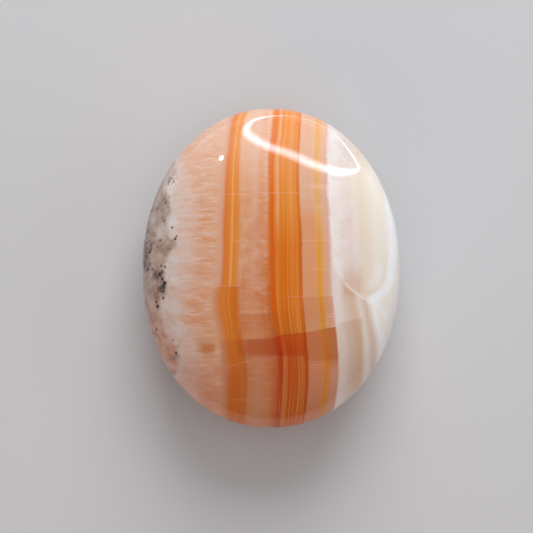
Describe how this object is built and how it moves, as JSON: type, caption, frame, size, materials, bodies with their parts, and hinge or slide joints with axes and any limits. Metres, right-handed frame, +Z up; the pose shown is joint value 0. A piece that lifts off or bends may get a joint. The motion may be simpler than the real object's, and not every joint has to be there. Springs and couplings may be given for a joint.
{
  "type": "palm stone",
  "caption": "Rounded oval palm stone of polished banded calcite, domed on both faces, lying on a small flat spot.",
  "frame": {"origin": "middle of the small flat spot under the stone, on the surface that it lies on", "axes": "+X across the oval, +Y along it towards its slightly slimmer end, +Z up through the domed face"},
  "size_m": [0.0572, 0.071, 0.026],
  "materials": {
    "banded_calcite": "high lapidary polish, orange, peach and cream bands"
  },
  "bodies": {
    "root": {"stone": "banded_calcite"}
  },
  "joints": []
}
